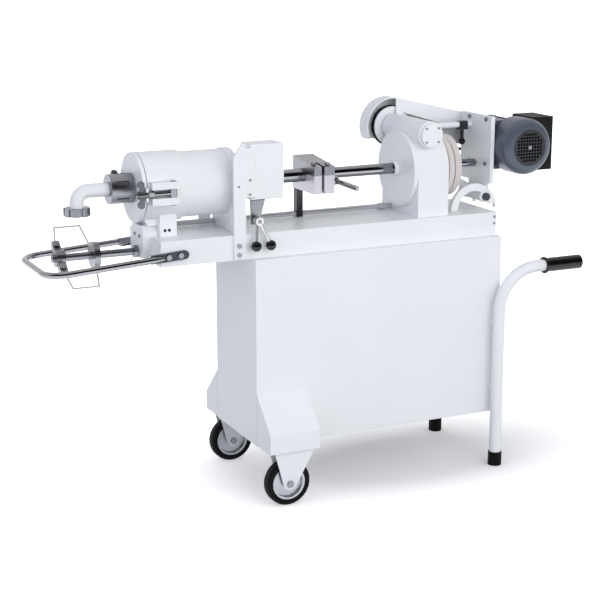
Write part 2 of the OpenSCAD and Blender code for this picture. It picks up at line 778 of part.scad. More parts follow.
module release_lever() color([0.7, 0.7, 0.72]) {
    x0 = car_x1 + 0.5;
    difference() {
        union() {
            xrod(x0, x0 + 14, relax_y, relax_z, 12);
            bar([x0 + 7, relax_y, relax_z], [x0 + 36, relax_y - 78, relax_z - 13], 7);
        }
        xrod(x0 - 1, x0 + 30, relax_y, relax_z, 5 + run);
    }
}

// Headstock
module lead_screw() color([0.7, 0.7, 0.72]) {
    xrod(-40, shoulder_x, 0, axis_z, screw_d / 2);
    xrod(shoulder_x, gland_x + 85, 0, axis_z, 11);
    xrod(head_x0 - 14, head_x0 - 0.5, 0, axis_z, screw_d / 2 + 7);
}
module worm_wheel() color([0.75, 0.6, 0.3]) {
    xtube(worm_x - 18, worm_x + 18, wheel_blank_d / 2, screw_d / 2);
}
module headstock_disc() color([0.86, 0.86, 0.89]) {
    xtube(head_x0, house_x0, disc_d / 2, screw_d / 2 + run);
}
module headstock_housing() color([0.93, 0.94, 0.95]) {
    difference() {
        union() {
            xrod(house_x0, house_x1, 0, axis_z, house_half);
            slab(house_x0, house_x1, -house_half, house_half, bed_z1, axis_z);
            yrod(worm_x, -house_half, 95, worm_z, tunnel_d / 2);
            slab(worm_x, house_x1 - 10, strut_y - 12, strut_y + 12, strut_z - 12, strut_z + 12);
        }
        xrod(house_x0 - 1, house_x1 - 12, 0, axis_z, house_half - 13);
        xrod(house_x1 - 13, house_x1 + 1, 0, axis_z, screw_d / 2 + 5);
        yrod(worm_x, -house_half - 1, 96, worm_z, tunnel_d / 2 - 10);
        xrod(house_x0 - 1, house_x0 + 10, rail_y, rail_z, rail_d / 2);
        xrod(head_x0 - 1, house_x0, 0, axis_z, disc_d / 2 + 0.5);
    }
}
module rear_cover() color([0.84, 0.81, 0.78]) {
    difference() {
        union() {
            xrod(house_x1, house_x1 + 12, 0, axis_z, 80);
            xrod(house_x1 + 12, house_x1 + 28, 0, axis_z, 90);
            xrod(house_x1 + 28, house_x1 + 34, 0, axis_z, 78);
            xrod(house_x1 + 34, house_x1 + 53, 0, axis_z, 85);
            xrod(house_x1 + 53, gland_x, 0, axis_z, 60);
            xrod(gland_x, gland_x + 14, 0, axis_z, 19);
        }
        xrod(house_x1 - 1, shoulder_x + 1, 0, axis_z, screw_d / 2 + run);
        xrod(house_x1, gland_x + 15, 0, axis_z, 11 + run);
    }
}
module worm_caps() color([0.93, 0.94, 0.95]) {
    r = tunnel_d / 2;
    difference() {
        union() {
            yrod(worm_x, -house_half - 12, -house_half, worm_z, r - 4);
            yrod(worm_x, -house_half, -house_half + 18, worm_z, r - 10);
        }
        yrod(worm_x, -house_half + 3, -house_half + 19, worm_z, 10 + run);
    }
    difference() {
        union() {
            yrod(worm_x, 95, 103, worm_z, r);
            yrod(worm_x, 77, 95, worm_z, r - 10);
        }
        yrod(worm_x, 76, 104, worm_z, 10 + run);
    }
}

// Belt drive
module pulley_groove(x, z, r) {
    difference() {
        yrod(x, belt_y - 13, belt_y + 13, z, r);
        difference() {
            yrod(x, belt_y - belt_w / 2 - slip, belt_y + belt_w / 2 + slip, z, r + 1);
            yrod(x, belt_y - 20, belt_y + 20, z, r - belt_t + belt_out - slip);
        }
    }
}
module worm_shaft() color([0.6, 0.6, 0.62]) {
    yrod(worm_x, -house_half + 4, belt_y + 15, worm_z, 10);
    yrod(worm_x, -45, 45, worm_z, worm_d / 2);
    pulley_groove(worm_x, worm_z, pulley_a_d / 2);
}
module belt() color([0.08, 0.08, 0.08]) {
    ra = pulley_a_d / 2 + belt_out;
    rb = pulley_b_d / 2 + belt_out;
    xz_plate(belt_y - belt_w / 2, belt_y + belt_w / 2) difference() {
        two_round(ra, rb);
        two_round(ra - belt_t, rb - belt_t);
    }
}
module guard_outline() {
    low = bed_z1;
    difference() {
        two_round(guard_ra, guard_rb);
        polygon([[worm_x - 120, worm_z - 30], [motor_x + 100, motor_z - 38], [motor_x + 100, low],
            [worm_x - 120, low]]);
    }
}
module belt_guard() color([0.88, 0.88, 0.9]) {
    y0 = 110;
    y1 = 160;
    xz_plate(y0, y1 - guard_t) difference() {
        guard_outline();
        two_round(guard_ra - guard_t, guard_rb - guard_t);
    }
    xz_plate(y1 - guard_t, y1) guard_outline();
    xz_plate(y0 - guard_t, y0) difference() {
        guard_outline();
        polygon([[worm_x - 120, bed_z1], [worm_x - 120, worm_z + 200], [worm_x + 8, worm_z + 200],
            [worm_x + 8, worm_z + 44], [motor_x - 75, motor_z + 27], [motor_x - 75, motor_z + 120],
            [motor_x + 120, motor_z + 120], [motor_x + 120, bed_z1]]);
    }
    slab(worm_x + 8, worm_x + 30, 103, y0 - guard_t, worm_z + 15, worm_z + guard_ra - 8);
}

// Motor and its hinged plate
module hinge_bracket() color([0.92, 0.92, 0.93]) {
    cx = hinge_x - 37;
    both() xz_plate(48, 60) difference() {
        union() {
            difference() {
                translate([cx, bed_z1]) circle(r = 73);
                translate([cx, bed_z1]) circle(r = 52);
            }
            translate([hinge_x, hinge_z]) circle(r = 18);
        }
        translate([cx - 100, bed_z1 - 100]) square([200, 100]);
        translate([bed_x1, bed_z1 - 1]) square([30, 14]);
        translate([hinge_x, hinge_z]) circle(d = 22);
    }
    yrod(hinge_x, -68, 68, hinge_z, 11);
}
module motor_plate() color([0.88, 0.88, 0.91]) {
    top = motor_z + 84;
    difference() {
        union() {
            slab(plate_x0, plate_x1, -68, 90, hinge_z + 36, top);
            slab(plate_x0, plate_x1, -45, 45, hinge_z - 8, hinge_z + 36);
            yrod(hinge_x, -45, 45, hinge_z, 16);
        }
        yrod(hinge_x, -46, 46, hinge_z, 11);
    }
}
module tension_strut() color([0.9, 0.9, 0.92]) {
    x0 = house_x1 - 10;
    xrod(x0, plate_x0, strut_y, strut_z, 8);
    slab(x0 + 126, x0 + 152, strut_y - 10, strut_y + 10, strut_z - 14, strut_z + 10);
    zrod(x0 + 139, strut_y, strut_z - 44, strut_z - 14, 5);
    ball([x0 + 139, strut_y, strut_z - 48], 10);
}
module motor_body() color([0.35, 0.38, 0.44]) {
    r = frame_d / 2;
    difference() {
        union() {
            xz_plate(cowl_y + cowl_len, 86) translate([motor_x, motor_z]) {
                circle(r = r - 7);
                for (a = [0:10:350])
                    rotate(a) translate([0, -1.5]) square([r, 3]);
            }
            yrod(motor_x, cowl_y + cowl_len - 6, cowl_y + cowl_len, motor_z, cowl_d / 2 - cowl_t);
            yrod(motor_x, 86, 92, motor_z, r + 1);
            yrod(motor_x, 92, 105, motor_z, r - 8);
            yrod(motor_x, 105, 109, motor_z, 24);
            for (s = [-1, 1]) {
                slab(plate_x1, motor_x - 20, -38, 55, motor_z + s * 62.5 - 6, motor_z + s * 62.5 + 6);
                slab(plate_x1, plate_x1 + 10, -38, 55, motor_z + s * 66 - 14, motor_z + s * 66 + 14);
            }
            slab(motor_x, motor_x + r + 2, -10, 55, motor_z - 30, motor_z + 30);
            slab(motor_x + r + 2, motor_x + r + 71, -30, 75, motor_z - 82, motor_z + 70);
        }
        yrod(motor_x, cowl_y + cowl_len - 7, 110, motor_z, motor_shaft_d / 2 + run);
    }
}
module cowl_outline(r, round, h) {
    square([r - round, h]);
    translate([0, round]) square([r, h - round]);
    translate([r - round, round]) circle(r = round);
}
module motor_cowl() color([0.3, 0.33, 0.38]) {
    r = cowl_d / 2;
    cells = floor((r - cowl_round) / grille_pitch);
    translate([motor_x - mid_x, cowl_y, motor_z]) rotate([-90, 0, 0]) difference() {
        union() {
            rotate_extrude() difference() {
                cowl_outline(r, cowl_round, cowl_len);
                translate([0, cowl_t]) cowl_outline(r - cowl_t, cowl_round - cowl_t, cowl_len);
            }
            translate([-5, -5, -1.5]) cube([10, 10, 2]);
        }
        for (i = [-cells:cells], k = [-cells:cells])
            if (norm([i, k]) > 0 && norm([i, k]) < cells)
                translate([i * grille_pitch, k * grille_pitch, cowl_t / 2])
                    cube([grille_hole, grille_hole, 2 * cowl_t], center = true);
    }
}
module motor_rotor() color([0.6, 0.6, 0.62]) {
    yrod(motor_x, -106, belt_y + 20, motor_z, motor_shaft_d / 2);
    pulley_groove(motor_x, motor_z, pulley_b_d / 2);
    yrod(motor_x, -104, -72, motor_z, 20);
    for (a = [0:45:315])
        translate([motor_x - mid_x, -100, motor_z]) rotate([0, a, 0]) translate([16, 0, -2]) cube([42, 24, 4]);
}

cabinet_ends();
cabinet_sides();
cabinet_decks();
legs();
castor_forks();
axle_bolts();
near_tyre();
near_rim();
far_tyre();
far_rim();
near_handle();
far_leg();
grip();
foot_caps();
bed();
guide_rail();
barrel();
front_ring();
clamp_pins();
front_cover();
cover_seal();
elbow();
outlet_ring();
union_nut();
near_swing_bolt();
far_swing_bolt();
near_wing_nut();
far_wing_nut();
front_support();
bearing_block();
guard_bow();
cutter_shaft();
cutter_wires();
bulkhead();
columns();
control_box();
lever_bracket();
lever_a();
lever_b();
piston();
piston_seal();
piston_rod();
split_nut();
guide_post();
release_lever();
lead_screw();
worm_wheel();
headstock_disc();
headstock_housing();
rear_cover();
worm_caps();
worm_shaft();
belt();
belt_guard();
hinge_bracket();
motor_plate();
tension_strut();
motor_body();
motor_cowl();
motor_rotor();
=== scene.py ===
"""Looks of a wheeled meatball forming machine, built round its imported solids."""
import json
import math

import bmesh
import bpy
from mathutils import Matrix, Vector


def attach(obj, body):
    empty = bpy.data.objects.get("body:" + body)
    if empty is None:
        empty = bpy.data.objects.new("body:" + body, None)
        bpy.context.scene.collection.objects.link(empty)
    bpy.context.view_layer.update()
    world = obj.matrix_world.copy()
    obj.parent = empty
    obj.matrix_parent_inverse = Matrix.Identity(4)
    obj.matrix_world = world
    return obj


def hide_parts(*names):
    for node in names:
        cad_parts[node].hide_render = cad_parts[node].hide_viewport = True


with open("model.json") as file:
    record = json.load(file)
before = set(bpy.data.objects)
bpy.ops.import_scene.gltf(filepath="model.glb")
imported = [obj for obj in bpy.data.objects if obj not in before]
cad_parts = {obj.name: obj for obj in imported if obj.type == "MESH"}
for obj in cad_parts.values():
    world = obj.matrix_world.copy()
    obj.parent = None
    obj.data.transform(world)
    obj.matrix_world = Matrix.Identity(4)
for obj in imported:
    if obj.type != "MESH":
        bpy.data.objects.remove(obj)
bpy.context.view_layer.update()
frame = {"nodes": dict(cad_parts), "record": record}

NODES = frame["nodes"]
MM = 0.001
# Machine X, in millimetres from the castor axle, of the frame's origin.
MID = 155.635
WHITE = "#FFFFFF"
# Colour sockets of a mix node, which share their names with its number sockets.
MIX_FIRST, MIX_SECOND, MIX_RESULT = 6, 7, 2


# ---- helpers ----

def linear(code):
    """An sRGB hex colour as linear RGBA."""
    channels = [int(code[i:i + 2], 16) / 255 for i in (1, 3, 5)]
    light = [c / 12.92 if c <= 0.04045 else ((c + 0.055) / 1.055) ** 2.4 for c in channels]
    return (*light, 1.0)


def empty_tree(holder):
    """The node tree of a material or world, without its first nodes."""
    holder.use_nodes = True
    holder.node_tree.nodes.clear()
    return holder.node_tree


def add_node(tree, kind, settings=None, values=None, links=None):
    """Adds a node, with its settings, socket values and incoming links."""
    node = tree.nodes.new(kind)
    for name, value in (settings or {}).items():
        setattr(node, name, value)
    for name, value in (values or {}).items():
        node.inputs[name].default_value = value
    for name, socket in (links or {}).items():
        tree.links.new(socket, node.inputs[name])
    return node


def mix_tones(tree, factor, tones):
    """A colour between two hex tones."""
    mix = add_node(tree, "ShaderNodeMix", {"data_type": "RGBA"}, links={"Factor": factor})
    mix.inputs[MIX_FIRST].default_value = linear(tones[0])
    mix.inputs[MIX_SECOND].default_value = linear(tones[1])
    return mix.outputs[MIX_RESULT]


def ramp(tree, value, span=(0.0, 1.0), result=(0.0, 1.0)):
    """A number that runs through result while a value runs through span."""
    node = add_node(tree, "ShaderNodeMapRange",
                    values={"From Min": span[0], "From Max": span[1],
                            "To Min": result[0], "To Max": result[1]},
                    links={"Value": value})
    return node.outputs["Result"]


def combine(tree, operation, first, second):
    """Two numbers put through one operation of a math node."""
    node = add_node(tree, "ShaderNodeMath", {"operation": operation}, links={0: first, 1: second})
    return node.outputs["Value"]


def link_object(name, mesh):
    """A scene object that holds a mesh, at the origin."""
    piece = bpy.data.objects.new(name, mesh)
    bpy.context.scene.collection.objects.link(piece)
    return piece


# ---- finishes ----

# Height of the grain of a finish, in millimetres, the steps of noise in its patches and grain, and
# the stretch of grain that runs along a bar.
GRAIN_HEIGHT = 0.2
PATCH_DETAIL = 3.0
GRAIN_DETAIL = 2.0
ALONG_X = (0.02, 1.0, 1.0)


def finish_material(name, tones, metallic, roughness, spread, grain_mm, bump, patch_mm=160.0,
                    drawn=(1.0, 1.0, 1.0), specular=0.5):
    """A surface between two tones in broad patches, whose fine grain moves its gloss and height.

    drawn squeezes the grain along an axis, for lines left by drawing, turning or brushing.
    """
    material = bpy.data.materials.new(name)
    tree = empty_tree(material)
    place = add_node(tree, "ShaderNodeTexCoord").outputs["Object"]
    patch = add_node(tree, "ShaderNodeTexNoise",
                     values={"Scale": 1 / (patch_mm * MM), "Detail": PATCH_DETAIL},
                     links={"Vector": place})
    colour = mix_tones(tree, patch.outputs["Fac"], tones)
    lines = add_node(tree, "ShaderNodeMapping", values={"Scale": drawn}, links={"Vector": place})
    grain = add_node(tree, "ShaderNodeTexNoise",
                     values={"Scale": 1 / (grain_mm * MM), "Detail": GRAIN_DETAIL},
                     links={"Vector": lines.outputs["Vector"]})
    polish = ramp(tree, grain.outputs["Fac"], result=(roughness - spread, roughness + spread))
    height = add_node(tree, "ShaderNodeBump",
                      values={"Strength": bump, "Distance": GRAIN_HEIGHT * MM},
                      links={"Height": grain.outputs["Fac"]})
    shader = add_node(tree, "ShaderNodeBsdfPrincipled",
                      values={"Metallic": metallic, "Specular IOR Level": specular},
                      links={"Base Color": colour, "Roughness": polish,
                             "Normal": height.outputs["Normal"]})
    add_node(tree, "ShaderNodeOutputMaterial", links={"Surface": shader.outputs["BSDF"]})
    return material


# Powder coat, sprayed and baked: an even near-white with a slight orange peel of about 3 mm.
powder_coat = finish_material(
    "white powder coat", ("#EBEEF0", "#F0F2F4"), metallic=0.0, roughness=0.38, spread=0.05,
    grain_mm=3.0, bump=0.08)
# Enamel brushed on the turned rear cover: warmer and greyer than the coat round it.
grey_enamel = finish_material(
    "warm grey enamel", ("#D2CCC8", "#DCD6D2"), metallic=0.0, roughness=0.42, spread=0.05,
    grain_mm=3.0, bump=0.08)
# Stainless bar, drawn and buffed: sharp dark and light streaks with hair lines along the bar.
bright_steel = finish_material(
    "polished stainless steel", ("#8B8C91", "#97989C"), metallic=1.0, roughness=0.13, spread=0.05,
    grain_mm=1.2, bump=0.03, drawn=ALONG_X)
# Ground steel of the upper jaw, the outlet's ring and nut and the cutter shaft: an even grey with
# short soft reflections.
ground_steel = finish_material(
    "ground steel", ("#85868C", "#929399"), metallic=1.0, roughness=0.34, spread=0.06,
    grain_mm=0.8, bump=0.05, patch_mm=40.0)
# Lower jaw of the carriage, milled and left bright: paler than the jaw above it.
light_jaw = finish_material(
    "milled bright steel", ("#C9C7CE", "#D5D3DA"), metallic=0.5, roughness=0.4, spread=0.06,
    grain_mm=0.8, bump=0.05, patch_mm=40.0)
# Spring wire of the cutter, drawn and bright but too thin to mirror anything.
spring_wire = finish_material(
    "drawn spring wire", ("#B9B4AC", "#C4BFB7"), metallic=0.2, roughness=0.4, spread=0.06,
    grain_mm=1.0, bump=0.05)
# Zinc plated steel: greyer and duller than the polished pieces.
zinc_plate = finish_material(
    "zinc plated steel", ("#8A8C91", "#989A9F"), metallic=1.0, roughness=0.33, spread=0.08,
    grain_mm=1.5, bump=0.05, patch_mm=20.0)
# Nickel plated steel of the levers and the rail: pale, with a soft shine.
nickel_plate = finish_material(
    "nickel plated steel", ("#CDCDD0", "#D8D8DB"), metallic=0.7, roughness=0.28, spread=0.06,
    grain_mm=1.5, bump=0.04, patch_mm=20.0)
# Blackened steel of the guide post and hinge rod: a thin oxide that keeps some shine. It also
# darkens the guard lugs as a painted dark reflection and the strut block as painted shade.
blackened_steel_and_painted_shade = finish_material(
    "blackened steel and painted shade", ("#3E3F45", "#4C4D54"), metallic=1.0, roughness=0.36, spread=0.08,
    grain_mm=1.5, bump=0.05, patch_mm=20.0)
# Tarnished steel of the wing nuts: darker than the ground pieces, with a dull shine.
dull_steel = finish_material(
    "tarnished steel", ("#66676D", "#74757B"), metallic=1.0, roughness=0.38, spread=0.08,
    grain_mm=1.5, bump=0.05, patch_mm=20.0)
# Moulded tyre rubber: black with a faint, broad sheen.
tyre_rubber = finish_material(
    "moulded black rubber", ("#0A0A0B", "#0E0E10"), metallic=0.0, roughness=0.62, spread=0.08,
    grain_mm=1.2, bump=0.15, patch_mm=30.0, specular=0.15)
# Injection moulded phenolic: black and glossy.
black_moulding = finish_material(
    "gloss black phenolic", ("#0B0B0D", "#0F0F12"), metallic=0.0, roughness=0.2, spread=0.04,
    grain_mm=4.0, bump=0.02, specular=0.4)
# Crackle paint on the terminal box and the fan: black, matt and slightly rough.
matt_black = finish_material(
    "matt black crackle paint", ("#101013", "#17171B"), metallic=0.0, roughness=0.58, spread=0.08,
    grain_mm=1.2, bump=0.2, patch_mm=15.0, specular=0.2)
# Satin paint on the fan grille: a worn black that shows grey where it catches the light.
grille_paint = finish_material(
    "satin black paint", ("#202125", "#292A2F"), metallic=0.0, roughness=0.45, spread=0.06,
    grain_mm=1.5, bump=0.08, patch_mm=15.0)
# Pressed wheel centre, zinc plated and passivated: pale grey with a soft shine.
wheel_zinc = finish_material(
    "passivated zinc wheel centre", ("#B0B3B8", "#C0C3C8"), metallic=0.75, roughness=0.26,
    spread=0.06, grain_mm=2.0, bump=0.05, patch_mm=25.0)
# Cast aluminium, turned: pale and satin.
turned_aluminium = finish_material(
    "turned aluminium", ("#CFD1D3", "#D8DADC"), metallic=1.0, roughness=0.3, spread=0.06,
    grain_mm=1.5, bump=0.04)
# Worm wheel bronze, machined.
gear_bronze = finish_material(
    "machined bronze", ("#AF8446", "#BA9052"), metallic=1.0, roughness=0.3, spread=0.06,
    grain_mm=1.5, bump=0.04)
# Motor enamel: blue-grey, sprayed over a rough casting.
motor_enamel = finish_material(
    "blue-grey motor enamel", ("#4B5260", "#535B69"), metallic=0.0, roughness=0.36, spread=0.05,
    grain_mm=2.5, bump=0.12, patch_mm=60.0)

FINISHES = {
    "white_paint": powder_coat, "beige_paint": grey_enamel, "polished_steel": bright_steel,
    "zinc_steel": zinc_plate, "black_rubber": tyre_rubber, "black_plastic": black_moulding,
    "grey_rim": wheel_zinc, "food_aluminium": turned_aluminium, "bronze": gear_bronze,
    "motor_paint": motor_enamel,
}
# Nodes with a finish of their own, duller, darker or paler than their slot's.
OWN_FINISH = {
    "split_nut": ground_steel, "union_nut": ground_steel, "outlet_ring": ground_steel,
    "guide_post": blackened_steel_and_painted_shade, "near_wing_nut": dull_steel, "far_wing_nut": dull_steel,
    "cutter_shaft": ground_steel, "cutter_wires": spring_wire, "guide_rail": nickel_plate,
    "lever_bracket": zinc_plate,
}
SLOT_OF = {part["node"]: part["material_slot"] for part in frame["record"]["subparts"]}
BODY_OF = {node: body for body, nodes in frame["record"]["behaviour"]["bodies"].items()
           for node in nodes}


# ---- pieces that stand for CAD nodes ----

# Edge rounding in millimetres: least on thin and machined pieces, more on castings and cabinets.
EDGE_DEFAULT = 0.6
EDGE_ROUND = {
    "bed": 2.5, "control_box": 3.0, "legs": 2.0, "cabinet_sides": 1.2, "cabinet_ends": 1.2,
    "headstock_housing": 3.0, "headstock_disc": 2.5, "bulkhead": 2.0, "front_ring": 1.5,
    "bearing_block": 2.0, "front_support": 2.0, "motor_body": 2.0, "rear_cover": 1.5, "grip": 1.5,
    "near_tyre": 2.0, "far_tyre": 2.0,
}
EDGE_STEPS = 2
# Edges that turn less than the first angle stay smooth, and less than the second are left out.
SHARP_ANGLE = math.radians(32)
FLAT_ANGLE = math.radians(0.5)
# Places closer than this, in millimetres, are one place when a mesh is welded or cut.
WELD = 0.005
CUT_WELD = 0.001

# Heights and places, in machine millimetres, at which a piece changes its finish, and how far past
# some of them the middle of a face has to lie. An axis is given by its X and Z.
PAST = 0.1
BALL_TOP = 706.5
COLUMN_FACE = 126
LUG_FACE = 128
LUG_X = (-342, -306)
STRUT_BLOCK = (645, 675)
STRUT_KNOB_TOP = 932
TERMINAL_BOX_X = 845
HINGE_AXIS = (677, 756)
HINGE_ROD = 11.6
FAN_END_Y = -70
SCREW_COLLAR = (408.2, 422.4)
GRILLE_AXIS = (776, 896)
GRILLE_RADIUS = 51
GRILLE_Y = -121
GRILLE_FACE = -125
JAW_Z = 850


def from_axis(point, axis):
    """Distance of a point from an axis that runs along Y."""
    return math.hypot(point.x - axis[0], point.z - axis[1])


# Finishes of parts of a piece: each test takes the middle of a face in machine millimetres.
TRIM = {
    "lever_a": [(nickel_plate, lambda p: p.z > BALL_TOP)],
    "lever_b": [(nickel_plate, lambda p: p.z > BALL_TOP)],
    "lead_screw": [(powder_coat, lambda p: SCREW_COLLAR[0] < p.x < SCREW_COLLAR[1])],
    "split_nut": [(light_jaw, lambda p: p.z < JAW_Z)],
    "motor_cowl": [
        (grille_paint, lambda p: p.y < GRILLE_Y and from_axis(p, GRILLE_AXIS) < GRILLE_RADIUS),
        (zinc_plate, lambda p: p.y < GRILLE_FACE - PAST)],
    "columns": [(zinc_plate, lambda p: abs(p.y) > COLUMN_FACE + PAST)],
    # The bow's lug plates are darkened as a painted dark reflection; their bolt heads are zinc.
    "guard_bow": [
        (blackened_steel_and_painted_shade, lambda p: p.x > LUG_X[1] or
         p.x > LUG_X[0] and abs(abs(p.y) - LUG_FACE) < PAST / 2),
        (zinc_plate, lambda p: p.x > LUG_X[1] and abs(p.y) > LUG_FACE + PAST)],
    # The strut's block is darkened as painted shade where it sits in shadow, with a black knob
    # below.
    "tension_strut": [
        (blackened_steel_and_painted_shade, lambda p: STRUT_BLOCK[0] < p.x < STRUT_BLOCK[1]),
        (black_moulding, lambda p: STRUT_BLOCK[0] < p.x < STRUT_BLOCK[1] and
         p.z < STRUT_KNOB_TOP)],
    "motor_body": [(matt_black, lambda p: p.x > TERMINAL_BOX_X)],
    "hinge_bracket": [(blackened_steel_and_painted_shade, lambda p: from_axis(p, HINGE_AXIS) < HINGE_ROD)],
    "motor_rotor": [(matt_black, lambda p: p.y < FAN_END_Y)],
}

# The carriage's top falls this far, in millimetres, from its far end to its near end.
CARRIAGE_FALL = 16
CARRIAGE_TOP = 890
CARRIAGE_HALF = 67


def slope_carriage(work):
    """Lets the upper jaw's top fall towards the near side, and scores the line between the jaws."""
    for vertex in work.verts:
        if vertex.co.z > (CARRIAGE_TOP - PAST) * MM:
            share = (CARRIAGE_HALF - vertex.co.y / MM) / (2 * CARRIAGE_HALF)
            vertex.co.z -= CARRIAGE_FALL * share * MM
    bmesh.ops.bisect_plane(work, geom=work.verts[:] + work.edges[:] + work.faces[:],
                           dist=CUT_WELD * MM, plane_co=(0, 0, JAW_Z * MM), plane_no=(0, 0, 1))


RESHAPE = {"split_nut": slope_carriage}


def softened(name):
    """Makes a welded copy of a CAD node with rounded edges, which stands for the node."""
    trim = TRIM.get(name, [])
    work = bmesh.new()
    work.from_mesh(NODES[name].data)
    bmesh.ops.remove_doubles(work, verts=work.verts, dist=WELD * MM)
    if name in RESHAPE:
        RESHAPE[name](work)
    for face in work.faces:
        face.smooth = True
        middle = face.calc_center_median() / MM + Vector((MID, 0, 0))
        face.material_index = 0
        for index, (_, belongs) in enumerate(trim, 1):
            if belongs(middle):
                face.material_index = index
    bmesh.ops.dissolve_limit(work, angle_limit=FLAT_ANGLE, verts=work.verts, edges=work.edges,
                             delimit={"MATERIAL"})
    for edge in work.edges:
        edge.smooth = edge.calc_face_angle(math.pi) < SHARP_ANGLE
    mesh = bpy.data.meshes.new(name + "_soft")
    work.to_mesh(mesh)
    work.free()
    mesh.materials.append(OWN_FINISH.get(name, FINISHES[SLOT_OF[name]]))
    for finish, _ in trim:
        mesh.materials.append(finish)
    piece = link_object(name + "_soft", mesh)
    bevel = piece.modifiers.new("rounded edges", "BEVEL")
    bevel.width = EDGE_ROUND.get(name, EDGE_DEFAULT) * MM
    bevel.segments = EDGE_STEPS
    bevel.limit_method = "ANGLE"
    bevel.angle_limit = SHARP_ANGLE
    bevel.harden_normals = True
    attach(piece, BODY_OF[name])
    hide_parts(name)


for node_name in NODES:
    softened(node_name)


# ---- small fasteners ----

HEAD_SIDES = 28
# Radius and depth of the hexagon socket as shares of the head's radius and height.
SOCKET_RADIUS_SHARE = 0.52
SOCKET_DEPTH_SHARE = 0.6


def screw_tree():
    """Geometry nodes that set a round head with a hexagon socket on each point, facing out."""
    tree = bpy.data.node_groups.new("socket screws", "GeometryNodeTree")
    sockets = tree.interface
    sockets.new_socket("Places", in_out="INPUT", socket_type="NodeSocketGeometry")
    for label in ("Head Radius", "Head Height", "Socket Radius", "Socket Depth"):
        sockets.new_socket(label, in_out="INPUT", socket_type="NodeSocketFloat")
    sockets.new_socket("Finish", in_out="INPUT", socket_type="NodeSocketMaterial")
    sockets.new_socket("Screws", in_out="OUTPUT", socket_type="NodeSocketGeometry")
    given = add_node(tree, "NodeGroupInput").outputs
    head = add_node(tree, "GeometryNodeMeshCylinder", values={"Vertices": HEAD_SIDES},
                    links={"Radius": given["Head Radius"], "Depth": given["Head Height"]})
    half = add_node(tree, "ShaderNodeMath", {"operation": "MULTIPLY"}, {1: 0.5},
                    {0: given["Head Height"]})
    lift = add_node(tree, "ShaderNodeCombineXYZ", links={"Z": half.outputs["Value"]})
    stood = add_node(tree, "GeometryNodeTransform",
                     links={"Geometry": head.outputs["Mesh"],
                            "Translation": lift.outputs["Vector"]})
    # The hexagon is twice as long as the socket is deep, because half of it stands out of the head.
    reach = add_node(tree, "ShaderNodeMath", {"operation": "MULTIPLY"}, {1: 2.0},
                     {0: given["Socket Depth"]})
    hexagon = add_node(tree, "GeometryNodeMeshCylinder", values={"Vertices": 6},
                       links={"Radius": given["Socket Radius"], "Depth": reach.outputs["Value"]})
    top = add_node(tree, "ShaderNodeCombineXYZ", links={"Z": given["Head Height"]})
    raised = add_node(tree, "GeometryNodeTransform",
                      links={"Geometry": hexagon.outputs["Mesh"],
                             "Translation": top.outputs["Vector"]})
    drilled = add_node(tree, "GeometryNodeMeshBoolean", {"operation": "DIFFERENCE"},
                       links={"Mesh 1": stood.outputs["Geometry"],
                              "Mesh 2": raised.outputs["Geometry"]})
    facing = add_node(tree, "GeometryNodeInputNamedAttribute", {"data_type": "FLOAT_VECTOR"},
                      {"Name": "facing"})
    turn = add_node(tree, "FunctionNodeAlignRotationToVector", {"axis": "Z"},
                    links={"Vector": facing.outputs["Attribute"]})
    heads = add_node(tree, "GeometryNodeInstanceOnPoints",
                     links={"Points": given["Places"], "Instance": drilled.outputs["Mesh"],
                            "Rotation": turn.outputs["Rotation"]})
    real = add_node(tree, "GeometryNodeRealizeInstances",
                    links={"Geometry": heads.outputs["Instances"]})
    done = add_node(tree, "GeometryNodeSetMaterial",
                    links={"Geometry": real.outputs["Geometry"], "Material": given["Finish"]})
    add_node(tree, "NodeGroupOutput", links={"Screws": done.outputs["Geometry"]})
    return tree


SCREW_TREE = screw_tree()
SCREW_INPUTS = {item.name: item.identifier for item in SCREW_TREE.interface.items_tree
                if item.in_out == "INPUT"}


def screws(name, carrier, facing, places, radius, height, finish=zinc_plate):
    """Sets screw heads on a carrier node: places in machine millimetres, all facing one way."""
    spots = bpy.data.meshes.new(name + "_places")
    spots.from_pydata([(Vector(p) - Vector((MID, 0, 0))) * MM for p in places], [], [])
    direction = spots.attributes.new("facing", "FLOAT_VECTOR", "POINT")
    for row in direction.data:
        row.vector = facing
    maker = link_object(name + "_places", spots)
    modifier = maker.modifiers.new("screws", "NODES")
    modifier.node_group = SCREW_TREE
    given = {"Head Radius": radius * MM, "Head Height": height * MM,
             "Socket Radius": SOCKET_RADIUS_SHARE * radius * MM,
             "Socket Depth": SOCKET_DEPTH_SHARE * height * MM, "Finish": finish}
    for label, value in given.items():
        modifier[SCREW_INPUTS[label]] = value
    shown = maker.evaluated_get(bpy.context.evaluated_depsgraph_get())
    mesh = bpy.data.meshes.new_from_object(shown)
    bpy.data.objects.remove(maker)
    piece = link_object(name, mesh)
    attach(piece, BODY_OF[carrier])


# Faces that carry the screws, the bed's top and the worm cap's axis, in machine millimetres.
LEFT, NEAR = (-1, 0, 0), (0, -1, 0)
PLATE_FACE_X, BLOCK_FACE_X = 684, -321
BOX_FACE_Y, BED_FACE_Y, SUPPORT_FACE_Y, CAP_FACE_Y = -118, -118, -62, -115
BED_TOP = 722
CAP_AXIS = (470, 946)
CAP_RING = 26
CAP_ANGLES = [math.radians(45 + 90 * quarter) for quarter in range(4)]

